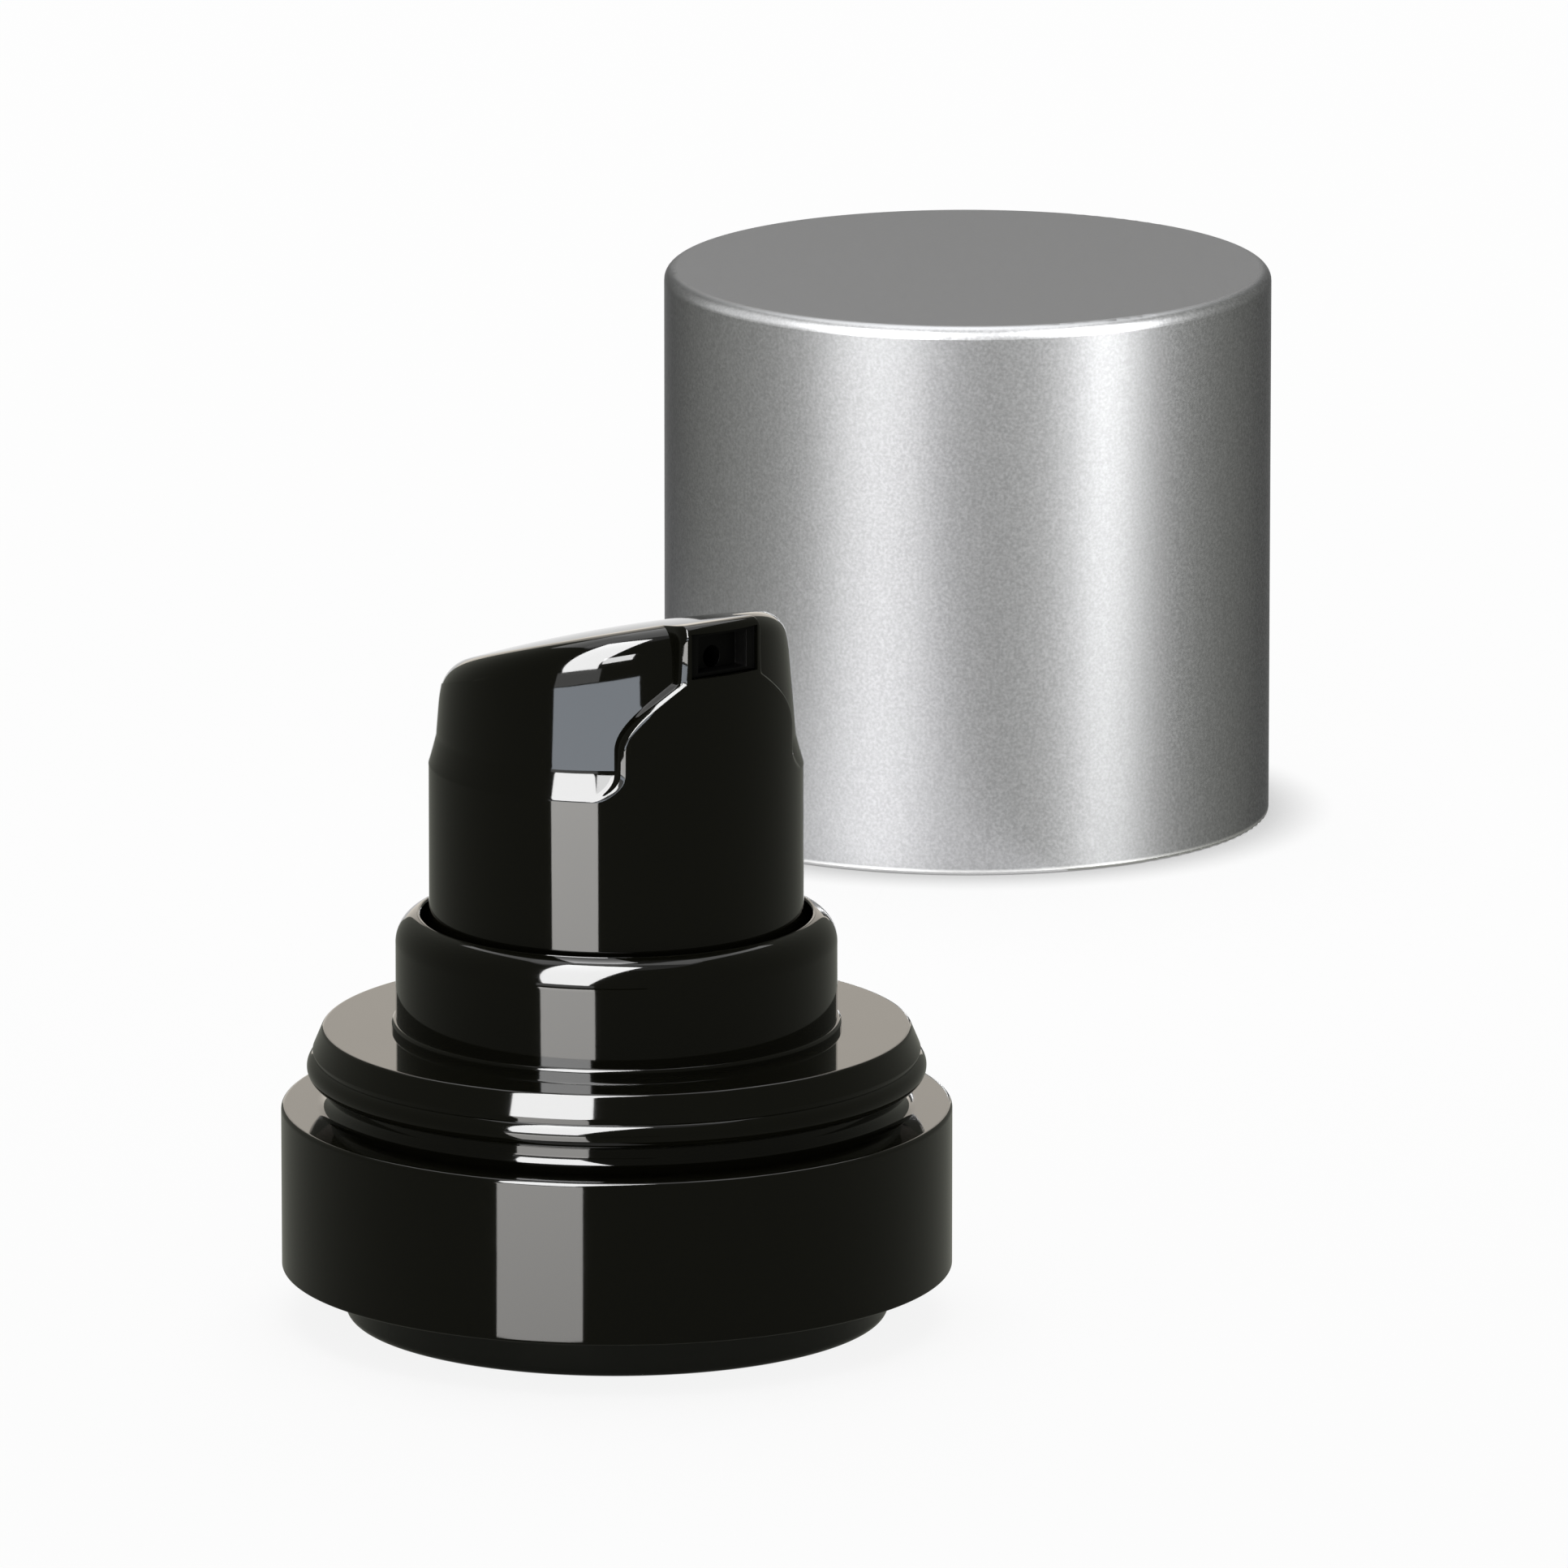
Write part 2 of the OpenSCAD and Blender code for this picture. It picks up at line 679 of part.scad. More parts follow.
// Button core: the disc under the button, the socket for the stem and the duct that rises to the nozzle
module button_core() {
    socket_r = stem_r + run;
    color("#2a2b27")
        difference() {
            union() {
                translate([0, 0, core_z])
                    cylinder(r = skirt_bore_r - run, h = core_t);
                translate([0, 0, core_z])
                    cylinder(r = column_r, h = duct_z - core_z + duct_r);
                slanted_duct(duct_r, duct_len + 2 * duct_r);
            }
            translate([0, 0, core_z - over])
                cylinder(r = socket_r, h = stem_top_z - core_z + over + seat);
            translate([0, 0, snap_z - seat])
                cylinder(r = snap_r + run, h = snap_h + 2 * seat);
            translate([0, 0, core_z])
                cylinder(r = duct_bore_r, h = duct_z - core_z + bite);
            slanted_duct(duct_bore_r, duct_len + 3 * duct_r);
            nozzle_block(nozzle_w, 3 * nozzle_h, nozzle_z, nozzle_face - nozzle_depth - run, button_r + over);
        }
}

// Nozzle insert: a flat-faced block with the mouth in it, and a tenon behind it that carries the duct's end
module nozzle_insert() {
    mouth_depth = 1.1;
    bore_past = 3;
    color("#0f0f0b")
        difference() {
            union() {
                nozzle_block(nozzle_w - 2 * run, nozzle_h - 2 * run, nozzle_z, nozzle_face - face_depth, nozzle_face);
                nozzle_block(tenon_w - 2 * run, tenon_h - 2 * run, tenon_z,
                             nozzle_face - nozzle_depth, nozzle_face - face_depth + lap);
            }
            nozzle_block(mouth_w, mouth_h, nozzle_z, nozzle_face - mouth_depth, nozzle_face + over);
            slanted_duct(duct_bore_r, duct_len + bore_past);
        }
}

// Cap shell: a drawn aluminium cup, open below
module cap_shell() {
    color("#a9aaab")
        translate([cap_x, cap_y, 0])
            rotate_extrude()
                difference() {
                    band(0, body_r, 0, cap_h);
                    corner_cut(body_r, cap_h, cap_edge_r, 1, 1);
                    corner_cut(body_r, 0, edge_r, 1, -1);
                    difference() {
                        band(-over, cap_shell_in_r, -over, liner_top_z);
                        corner_cut(cap_shell_in_r, liner_top_z, cap_edge_r - shell_t, 1, 1);
                    }
                }
}

// Cap liner: the plastic cup inside the shell, with the snap bead that grips the collar
module cap_liner() {
    cap_bead_z = bead_rise - cap_bead_drop;
    color("#2b2c2b")
        translate([cap_x, cap_y, 0])
            rotate_extrude()
                union() {
                    difference() {
                        band(0, cap_shell_in_r, 0, liner_top_z);
                        corner_cut(cap_shell_in_r, liner_top_z, cap_edge_r - shell_t, 1, 1);
                        band(-over, liner_in_r, -over, liner_top_z - liner_top);
                    }
                    translate([liner_in_r - cap_bead_out + cap_bead_r, cap_bead_z])
                        circle(r = cap_bead_r);
                }
}

collar();
guide_sleeve();
bottle_plug();
bottle_gasket();
chamber_gasket();
pump_chamber();
chamber_cap();
ball_retainer();
inlet_ball();
stem();
piston_rod();
piston();
return_spring();
button_shell();
button_core();
nozzle_insert();
cap_shell();
cap_liner();
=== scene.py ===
from math import acos, atan, cos, degrees, pi, radians, sin, tan

import bmesh
import bpy
import numpy as np
from mathutils import Matrix, Vector


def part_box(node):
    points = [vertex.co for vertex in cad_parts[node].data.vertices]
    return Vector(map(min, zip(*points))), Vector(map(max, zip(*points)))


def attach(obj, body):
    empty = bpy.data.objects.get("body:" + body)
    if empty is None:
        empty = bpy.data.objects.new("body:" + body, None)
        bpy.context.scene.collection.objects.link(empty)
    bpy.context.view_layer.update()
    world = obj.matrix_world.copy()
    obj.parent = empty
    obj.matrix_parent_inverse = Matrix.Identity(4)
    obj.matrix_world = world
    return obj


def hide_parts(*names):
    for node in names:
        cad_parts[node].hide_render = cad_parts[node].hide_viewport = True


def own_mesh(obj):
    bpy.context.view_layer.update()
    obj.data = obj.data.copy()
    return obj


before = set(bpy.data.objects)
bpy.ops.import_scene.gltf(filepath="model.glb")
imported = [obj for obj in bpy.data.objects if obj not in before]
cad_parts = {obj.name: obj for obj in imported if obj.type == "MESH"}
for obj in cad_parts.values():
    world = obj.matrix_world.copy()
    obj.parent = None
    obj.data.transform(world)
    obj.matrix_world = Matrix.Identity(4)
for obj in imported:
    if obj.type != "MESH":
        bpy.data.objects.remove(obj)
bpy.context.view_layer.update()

mm = 0.001

# The photographer's camera: front left of the nozzle, a little above the pump, far back with a long lens.
# Its place was fitted to the circles of the pump and the cap in the photograph. Colours are shown as written.
camera_azimuth = radians(-36.5)
camera_back = 1.147
camera_height = 0.2958
camera_side = 0.00996
camera_pitch = radians(12.943)
focal_pixels = 24433
photo_pixels = 1932
forward = Vector((-sin(camera_azimuth), cos(camera_azimuth), 0))
right = Vector((cos(camera_azimuth), sin(camera_azimuth), 0))
up = Vector((0, 0, 1))


def add_object(name, data):
    thing = bpy.data.objects.new(name, data)
    bpy.context.scene.collection.objects.link(thing)
    return thing


camera_data = bpy.data.cameras.new("photo_camera")
camera_data.sensor_width = 36
camera_data.lens = camera_data.sensor_width * focal_pixels / photo_pixels
camera_data.clip_start = 0.05
camera_data.clip_end = 20
camera = add_object("photo_camera", camera_data)
look = (forward * cos(camera_pitch) - up * sin(camera_pitch)).normalized()
camera.location = right * camera_side - forward * camera_back + up * camera_height
camera.rotation_euler = look.to_track_quat("-Z", "Y").to_euler()
bpy.context.scene.camera = camera
bpy.context.scene.view_settings.view_transform = "Standard"


# Every node tree below is written one node at a time. What goes into a node is a plain value or another
# node's output.
def feed(tree, node, inputs):
    for socket, value in inputs.items():
        if isinstance(value, bpy.types.NodeSocket):
            tree.links.new(value, node.inputs[socket])
        else:
            node.inputs[socket].default_value = value


def add_node(tree, kind, inputs, operation=None, data_type=None):
    node = tree.nodes.new(kind)
    if operation:
        node.operation = operation
    if data_type:
        node.data_type = data_type
    feed(tree, node, inputs)
    return node


def new_material(name):
    material = bpy.data.materials.new(name)
    material.use_nodes = True
    tree = material.node_tree
    return material, tree, tree.nodes["Principled BSDF"]


def show_surface(tree, surface):
    tree.links.new(surface.outputs[0], tree.nodes["Material Output"].inputs["Surface"])


def object_place(tree):
    return tree.nodes.new("ShaderNodeTexCoord").outputs["Object"]


def add_glow(tree, colour, strength):
    return add_node(tree, "ShaderNodeEmission", {"Color": (*colour, 1), "Strength": strength})


def glowing(name, colour, strength):
    material, tree, _ = new_material(name)
    show_surface(tree, add_glow(tree, colour, strength))
    return material


def seen_directly(tree):
    path = tree.nodes.new("ShaderNodeLightPath").outputs
    camera_or_gloss = add_node(tree, "ShaderNodeMath", {
        0: path["Is Camera Ray"], 1: path["Is Glossy Ray"]}, operation="MAXIMUM")
    any_of_them = add_node(tree, "ShaderNodeMath", {
        0: camera_or_gloss.outputs[0], 1: path["Is Transmission Ray"]}, operation="MAXIMUM")
    return any_of_them.outputs[0]


def add_sheet(name, points, faces):
    mesh = bpy.data.meshes.new(name)
    mesh.from_pydata(points, [], faces)
    return add_object(name, mesh)


# The table: a plain white sheet, far larger than the view, which keeps the soft shadow of what stands on it.
# The camera, gloss and clear plastic see it as white paper, and the rest of the light sees it as it is.
table_half = 6.0
white_share = 0.88
contact_reach = 4.5 * mm
contact_open_share = 0.5
contact_level = 0.6
contact_full_r = 30 * mm
contact_gone_r = 40 * mm
corners = [(-table_half, -table_half, 0), (table_half, -table_half, 0),
           (table_half, table_half, 0), (-table_half, table_half, 0)]
table = add_sheet("table", corners, [(0, 1, 2, 3)])

paper, tree, shader = new_material("table_white")
feed(tree, shader, {"Base Color": (0.9, 0.9, 0.9, 1), "Roughness": 0.6, "Specular IOR Level": 0.0})
# A painted contact shadow, a soft dark line where the cap meets the table: occlusion darkens the white that
# the camera sees, only near the cap.
# In the photograph the pump's own is cut away, so it has none.
cap_low, cap_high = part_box("cap_shell")
cap_middle = (cap_low + cap_high) / 2
contact = add_node(tree, "ShaderNodeAmbientOcclusion", {"Distance": contact_reach})
contact.samples = 8
painted_contact_shade = add_node(tree, "ShaderNodeMapRange", {
    "Value": contact.outputs["AO"], "From Min": contact_open_share, "To Min": contact_level})
from_cap = add_node(tree, "ShaderNodeVectorMath", {
    0: object_place(tree), 1: (cap_middle.x, cap_middle.y, 0)}, operation="DISTANCE")
painted_shade_strength = add_node(tree, "ShaderNodeMapRange", {
    "Value": from_cap.outputs["Value"], "From Min": contact_full_r, "From Max": contact_gone_r,
    "To Min": painted_contact_shade.outputs["Result"]})
white = add_glow(tree, (1, 1, 1), painted_shade_strength.outputs["Result"])
share = add_node(tree, "ShaderNodeMath", {0: seen_directly(tree), 1: white_share}, operation="MULTIPLY")
show_surface(tree, add_node(tree, "ShaderNodeMixShader", {
    0: share.outputs[0], 1: shader.outputs[0], 2: white.outputs[0]}))
table.data.materials.append(paper)

# The room: an even pale light all round, white where the camera, gloss or clear plastic looks at it.
# A large soft lamp overhead, a little behind the pump, brings the level up to that of daylight indoors.
room_level = 0.45
overhead_height = radians(68)
overhead_distance = 1.5
overhead_size = 1.3
overhead_radiance = 2.6
world = bpy.data.worlds.new("room")
world.use_nodes = True
bpy.context.scene.world = world
tree = world.node_tree
strength = add_node(tree, "ShaderNodeMapRange", {
    "Value": seen_directly(tree), "To Min": room_level, "To Max": 1.0})
feed(tree, tree.nodes["Background"], {"Color": (1, 1, 1, 1), "Strength": strength.outputs["Result"]})


def soft_panel(name, azimuth, elevation, distance, width, height, radiance, aim=(0, 0, 0.02)):
    data = bpy.data.lights.new(name, "AREA")
    data.shape = "RECTANGLE"
    data.size = width
    data.size_y = height
    data.energy = radiance * pi * width * height
    lamp = add_object(name, data)
    away = (-forward * cos(azimuth) + right * sin(azimuth)) * cos(elevation) + up * sin(elevation)
    lamp.location = Vector(aim) + away * distance
    lamp.rotation_euler = (-away).to_track_quat("-Z", "Y").to_euler()
    lamp.visible_camera = False
    return lamp


soft_panel("overhead_lamp", pi, overhead_height, overhead_distance, overhead_size, overhead_size,
           overhead_radiance)

# The window: a tall bright sheet front left of the pump, which leans over it, with a dim sill below it.
# Its sheen lies on the table as a wedge, where the upright walls see it.
# It is beige near the pump and pale blue far off.
window_left = radians(-41)
window_right = radians(-11)
window_distance = 1.0
window_sill = radians(9)
window_top = radians(84)
window_radiance = 52.0
sill_radiance = 3.0
far_sheen_right = radians(16)
near_sheen_from, near_sheen_to = 0.0115, 0.22
near_sheen_colour = (1.0, 0.98, 0.95)
near_sheen_level, near_sheen_end_level = 13.5, 24.0
far_sheen_from, far_sheen_to = 0.28, 1.3
far_sheen_colour = (0.84, 0.91, 1.0)
far_sheen_level = 13.0
sheen_lift = 0.0002
ring_radius, button_radius = 0.020, 0.011
pump_gloss = bpy.data.collections.new("pump_gloss")


def for_gloss_only(lamp):
    lamp.visible_diffuse = False
    lamp.light_linking.receiver_collection = pump_gloss


window_middle = (window_left + window_right) / 2
window_width = 2 * window_distance * tan((window_right - window_left) / 2)
window_height = 2 * window_distance * tan((window_top - window_sill) / 2)
window = soft_panel("window", window_middle, (window_sill + window_top) / 2, window_distance,
                    window_width, window_height, window_radiance)
for_gloss_only(window)
sill = soft_panel("window_sill", window_middle, window_sill / 2, window_distance,
                  window_width, window_distance * tan(window_sill), sill_radiance)
for_gloss_only(sill)


def table_sheen(name, start, end, left_edge, right_edge, colour, start_level, end_level):
    near_left, near_right = left_edge(start), right_edge(start)
    far_left, far_right = left_edge(end), right_edge(end)
    sheen = add_sheet(name, [near_left, near_right, far_right, far_left], [(0, 3, 2, 1)])
    material, tree, _ = new_material(name + "_light")
    reach = add_node(tree, "ShaderNodeVectorMath", {0: object_place(tree)}, operation="LENGTH")
    level = add_node(tree, "ShaderNodeMapRange", {
        "Value": reach.outputs["Value"], "From Min": near_left.length, "From Max": far_left.length,
        "To Min": start_level, "To Max": end_level})
    show_surface(tree, add_glow(tree, colour, level.outputs["Result"]))
    sheen.data.materials.append(material)
    sheen.visible_camera = False
    sheen.visible_shadow = False
    sheen.visible_transmission = False
    for_gloss_only(sheen)
    return sheen


def sheen_edge(azimuth, turned_from, radius):
    start = -forward * cos(turned_from) * radius + right * sin(turned_from) * radius
    run = -forward * cos(azimuth) + right * sin(azimuth)
    return lambda distance: start + run * distance + up * sheen_lift


# A wall mirrors a line of the table halfway round between that line and the camera.
sheen_left = sheen_edge(window_left, window_left / 2, ring_radius)
sheen_right = sheen_edge(window_right, window_right / 2, ring_radius)
far_right = sheen_edge(far_sheen_right, far_sheen_right / 2, button_radius)
table_sheen("near_sheen", near_sheen_from, near_sheen_to, sheen_left, sheen_right,
            near_sheen_colour, near_sheen_level, near_sheen_end_level)
far_sheen = table_sheen("far_sheen", far_sheen_from, far_sheen_to, sheen_left, far_right,
                        far_sheen_colour, far_sheen_level, far_sheen_level)

# Black cards: they stand round the front and the sides, open behind, and keep the gloss dark, as they do
# in a photographer's tent. Only reflections see them. The backdrop shows just along the edges turned to it.
card_far = 3.0
card_wall_h = 2.0
card_top_r = 1.4
card_top_h = 3.2
card_open = radians(166)
card_steps = 48
floor_z = 0.0001
drop_far = 2.9
drop_foot = 0.001
drop_top = 2.2
card_turns = [card_open * (2 * k / card_steps - 1) for k in range(card_steps + 1)]
card_points = [tuple(up * floor_z)]
for turn in card_turns:
    outwards = -forward * cos(turn) + right * sin(turn)
    for reach, lift in ((card_far, floor_z), (card_far, card_wall_h), (card_top_r, card_top_h)):
        card_points.append(tuple(outwards * reach + up * lift))
card_faces = []
for k in range(card_steps):
    here, after = 1 + 3 * k, 4 + 3 * k
    card_faces += [(0, here, after), (here, here + 1, after + 1, after),
                   (here + 1, here + 2, after + 2, after + 1)]
cards = add_sheet("black_cards", card_points, card_faces)
# The cards are not quite black: they glow faintly warm, a painted dim reflection of the room.
cards.data.materials.append(glowing("card_dim_glow", (0.98, 1.0, 0.87), 0.25))
# The backdrop behind the pump is warm white in its gloss.
drop_side = tan(pi - card_open) * drop_far
drop_corners = [tuple(forward * drop_far + right * x + up * z) for x, z in (
    (-drop_side, drop_foot), (drop_side, drop_foot), (drop_side, drop_top), (-drop_side, drop_top))]
drop = add_sheet("warm_backdrop", drop_corners, [(0, 1, 2, 3)])
drop.data.materials.append(glowing("warm_white", (1.0, 0.93, 0.83), 1.5))
for screen in (cards, drop):
    screen.visible_camera = False
    screen.visible_diffuse = False
    screen.visible_shadow = False
    screen.visible_transmission = False


# Bottle plug: the skirt that goes into the bottle's mouth, with its snap bead and the disc that carries
# the pump. It is moulded in the same gloss black plastic as the rest of the closure, a little duller.
def gloss_black(name, colour, roughness, dust):
    material, tree, shader = new_material(name)
    place = object_place(tree)
    cloud = add_node(tree, "ShaderNodeTexNoise", {"Vector": place, "Scale": 160, "Detail": 3})
    polish = add_node(tree, "ShaderNodeMapRange", {
        "Value": cloud.outputs["Fac"], "To Min": roughness * 0.8, "To Max": roughness * 1.25})
    grains = add_node(tree, "ShaderNodeTexVoronoi", {"Vector": place, "Scale": 420})
    near = add_node(tree, "ShaderNodeMath", {0: grains.outputs["Distance"], 1: 0.05}, operation="LESS_THAN")
    parts = add_node(tree, "ShaderNodeSeparateColor", {"Color": grains.outputs["Color"]})
    picked = add_node(tree, "ShaderNodeMath", {0: parts.outputs["Red"], 1: dust}, operation="LESS_THAN")
    speck = add_node(tree, "ShaderNodeMath", {0: near.outputs[0], 1: picked.outputs[0]}, operation="MULTIPLY")
    tint = add_node(tree, "ShaderNodeMix", {
        "Factor": speck.outputs[0], "A": (*colour, 1), "B": (0.16, 0.15, 0.12, 1)}, data_type="RGBA")
    dull = add_node(tree, "ShaderNodeMix", {
        "Factor": speck.outputs[0], "A": polish.outputs["Result"], "B": 0.6})
    flow = add_node(tree, "ShaderNodeBump", {
        "Height": cloud.outputs["Fac"], "Strength": 0.02, "Distance": 0.2 * mm})
    feed(tree, shader, {
        "Base Color": tint.outputs["Result"], "Roughness": dull.outputs["Result"],
        "Normal": flow.outputs["Normal"], "IOR": 1.5, "Specular IOR Level": 0.2})
    return material


def arc(centre_r, centre_z, radius, start, end, steps=10):
    turns = [radians(start + (end - start) * k / steps) for k in range(steps + 1)]
    return [(centre_r + radius * cos(q), centre_z + radius * sin(q)) for q in turns]


def with_guards(outline, guard=0.04):
    guarded = []
    for k, point in enumerate(outline):
        here, after = Vector(point), Vector(outline[(k + 1) % len(outline)])
        guarded.append(here)
        if (after - here).length > 4 * guard:
            step = (after - here).normalized() * guard
            guarded += [here + step, after - step]
    return guarded


def shape_tree(name, inputs):
    tree = bpy.data.node_groups.new(name, "GeometryNodeTree")
    for label, kind in inputs.items():
        tree.interface.new_socket(label, in_out="INPUT", socket_type="NodeSocket" + kind)
    tree.interface.new_socket("Shape", in_out="OUTPUT", socket_type="NodeSocketGeometry")
    return tree, tree.nodes.new("NodeGroupInput").outputs


def show_shape(tree, shape, material):
    real = add_node(tree, "GeometryNodeRealizeInstances", {"Geometry": shape})
    finish = add_node(tree, "GeometryNodeSetMaterial", {"Geometry": real.outputs[0], "Material": material})
    add_node(tree, "NodeGroupOutput", {"Shape": finish.outputs[0]})


def turning_tree():
    tree, given = shape_tree("turned_moulding", {
        "Outline": "Geometry", "Pitch radius": "Float", "Facets": "Int", "Material": "Material"})
    back = add_node(tree, "ShaderNodeMath", {0: given["Pitch radius"], 1: -1}, operation="MULTIPLY")
    inwards = add_node(tree, "ShaderNodeCombineXYZ", {"X": back.outputs[0]})
    shift = add_node(tree, "GeometryNodeTransform", {
        "Geometry": given["Outline"], "Translation": inwards.outputs[0]})
    outline = add_node(tree, "GeometryNodeMeshToCurve", {"Mesh": shift.outputs[0]})
    circle = add_node(tree, "GeometryNodeCurvePrimitiveCircle", {
        "Resolution": given["Facets"], "Radius": given["Pitch radius"]})
    sweep = add_node(tree, "GeometryNodeCurveToMesh", {
        "Curve": circle.outputs["Curve"], "Profile Curve": outline.outputs["Curve"]})
    smooth = add_node(tree, "GeometryNodeSetShadeSmooth", {"Geometry": sweep.outputs["Mesh"]})
    show_shape(tree, smooth.outputs[0], given["Material"])
    return tree


def finished_mesh(name, draft):
    mesh = bpy.data.meshes.new_from_object(draft.evaluated_get(bpy.context.evaluated_depsgraph_get()))
    mesh.name = name
    bpy.data.objects.remove(draft)
    return mesh


def run_tree(name, start_mesh, tree, values):
    draft = add_object(name + "_draft", start_mesh)
    modifier = draft.modifiers.new("shape", "NODES")
    modifier.node_group = tree
    sockets = {item.name: item.identifier for item in tree.interface.items_tree if item.in_out == "INPUT"}
    for label, value in values.items():
        modifier[sockets[label]] = value
    return finished_mesh(name, draft)


def close_and_crease(mesh, crease=radians(38)):
    form = bmesh.new()
    form.from_mesh(mesh)
    bmesh.ops.remove_doubles(form, verts=form.verts, dist=1e-7)
    bmesh.ops.recalc_face_normals(form, faces=form.faces)
    if form.calc_volume(signed=True) < 0:
        bmesh.ops.reverse_faces(form, faces=form.faces)
    for face in form.faces:
        face.smooth = True
    for edge in form.edges:
        edge.smooth = len(edge.link_faces) == 2 and edge.calc_face_angle(0) < crease
    form.to_mesh(mesh)
    form.free()


def place_piece(name, mesh, body, node):
    piece = add_object(name, mesh)
    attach(piece, body)
    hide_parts(node)
    pump_gloss.objects.link(piece)
    return piece


turned_moulding = turning_tree()


def turned_piece(name, outline, body, node, material, facets=288):
    points = with_guards(outline)
    drawn = bpy.data.meshes.new(name + "_outline")
    # The sweep turns the outline's second axis downwards, so it is drawn upside down here.
    drawn.from_pydata([(p[0] * mm, -p[1] * mm, 0) for p in points],
                      [(k, (k + 1) % len(points)) for k in range(len(points))], [])
    pitch = max(p[0] for p in points) * mm
    mesh = run_tree(name, drawn, turned_moulding,
                    {"Pitch radius": pitch, "Facets": facets, "Material": material})
    close_and_crease(mesh)
    return place_piece(name, mesh, body, node)


plug_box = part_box("bottle_plug")
plug_top = plug_box[1].z / mm
disc_r = plug_box[1].x / mm
disc_t = 1.6
plug_r = 16.2
plug_wall = 1.2
plug_round = 0.5
plug_lip_round = 0.25
pump_hole_r = 4.65
snap_bead_r = 0.4
snap_bead_out = 0.25
snap_bead_drop = 2.0
disc_foot = plug_top - disc_t
snap_bead_z = disc_foot - snap_bead_drop
snap_turn = degrees(acos((snap_bead_r - snap_bead_out) / snap_bead_r))
plug_outline = (
    arc(plug_r - plug_round, plug_round, plug_round, 270, 360)
    + arc(plug_r + snap_bead_out - snap_bead_r, snap_bead_z, snap_bead_r, -snap_turn, snap_turn)
    + [(plug_r, disc_foot), (disc_r, disc_foot), (disc_r, plug_top), (pump_hole_r, plug_top),
       (pump_hole_r, disc_foot), (plug_r - plug_wall, disc_foot)]
    + arc(plug_r - plug_wall + plug_lip_round, plug_lip_round, plug_lip_round, 180, 270, 5)
)
# Its black is mixed lighter than the other mouldings' black of the same plastic: painted light on the plug.
turned_piece("plug_moulding", plug_outline, "closure", "bottle_plug",
             gloss_black("plug_gloss", (0.0170, 0.0176, 0.0140), 0.12, 0.02))


# Bottle gasket and chamber gasket: flat rings punched out of white closed-cell foam.
# The large one seals the bottle's mouth, the small one seals the pump's flange.
def dress(node, material):
    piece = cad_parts[node]
    piece.data.materials.clear()
    piece.data.materials.append(material)
    return piece


def foam(name, colour):
    material, tree, shader = new_material(name)
    cells = add_node(tree, "ShaderNodeTexVoronoi", {"Vector": object_place(tree), "Scale": 5200})
    # The cells' pits are a little darker than their rims: painted shade in the dents.
    shade = add_node(tree, "ShaderNodeMix", {
        "Factor": cells.outputs["Distance"], "A": (*(0.82 * c for c in colour), 1), "B": (*colour, 1)},
        data_type="RGBA")
    dents = add_node(tree, "ShaderNodeBump", {
        "Height": cells.outputs["Distance"], "Strength": 0.5, "Distance": 0.06 * mm})
    feed(tree, shader, {
        "Base Color": shade.outputs["Result"], "Roughness": 0.85, "Normal": dents.outputs["Normal"]})
    return material


dress("bottle_gasket", foam("bottle_gasket_foam", (0.83, 0.82, 0.78)))
dress("chamber_gasket", foam("chamber_gasket_foam", (0.74, 0.73, 0.68)))


# Pump chamber, its cap and the ball retainer: moulded in natural polypropylene, a milky, waxy plastic.
# The chamber hangs through the plug's disc by its flange, the cap clips over it and the retainer is
# pressed inside.
def natural_plastic(name, colour, roughness):
    material, tree, shader = new_material(name)
    haze = add_node(tree, "ShaderNodeTexNoise", {"Vector": object_place(tree), "Scale": 420, "Detail": 4})
    shade = add_node(tree, "ShaderNodeMix", {
        "Factor": haze.outputs["Fac"], "A": (*(0.9 * c for c in colour), 1), "B": (*colour, 1)},
        data_type="RGBA")
    wax = add_node(tree, "ShaderNodeMapRange", {
        "Value": haze.outputs["Fac"], "To Min": roughness * 0.8, "To Max": roughness * 1.3})
    feed(tree, shader, {
        "Base Color": shade.outputs["Result"], "Roughness": wax.outputs["Result"],
        "Subsurface Weight": 0.25, "Subsurface Radius": (0.001, 0.0009, 0.0008)})
    return material


dress("pump_chamber", natural_plastic("chamber_plastic", (0.82, 0.81, 0.77), 0.35))
dress("chamber_cap", natural_plastic("chamber_cap_plastic", (0.76, 0.75, 0.7), 0.4))
dress("ball_retainer", natural_plastic("retainer_plastic", (0.71, 0.7, 0.65), 0.4))


# Inlet ball: a ground and polished stainless steel ball, loose on its seat in the chamber's floor.
# Its polish shows only the finest crossed hairlines.
def bright_steel(name, colour, roughness, stretch):
    material, tree, shader = new_material(name)
    along = add_node(tree, "ShaderNodeMapping", {"Vector": object_place(tree), "Scale": stretch})
    lines = add_node(tree, "ShaderNodeTexNoise", {"Vector": along.outputs[0], "Scale": 900, "Detail": 5})
    polish = add_node(tree, "ShaderNodeMapRange", {
        "Value": lines.outputs["Fac"], "To Min": roughness * 0.7, "To Max": roughness * 1.5})
    drawn = add_node(tree, "ShaderNodeBump", {
        "Height": lines.outputs["Fac"], "Strength": 0.08, "Distance": 0.02 * mm})
    feed(tree, shader, {
        "Base Color": (*colour, 1), "Metallic": 1, "Roughness": polish.outputs["Result"],
        "Normal": drawn.outputs["Normal"]})
    return material


dress("inlet_ball", bright_steel("ball_polish", (0.62, 0.63, 0.64), 0.1, (1, 1, 1)))

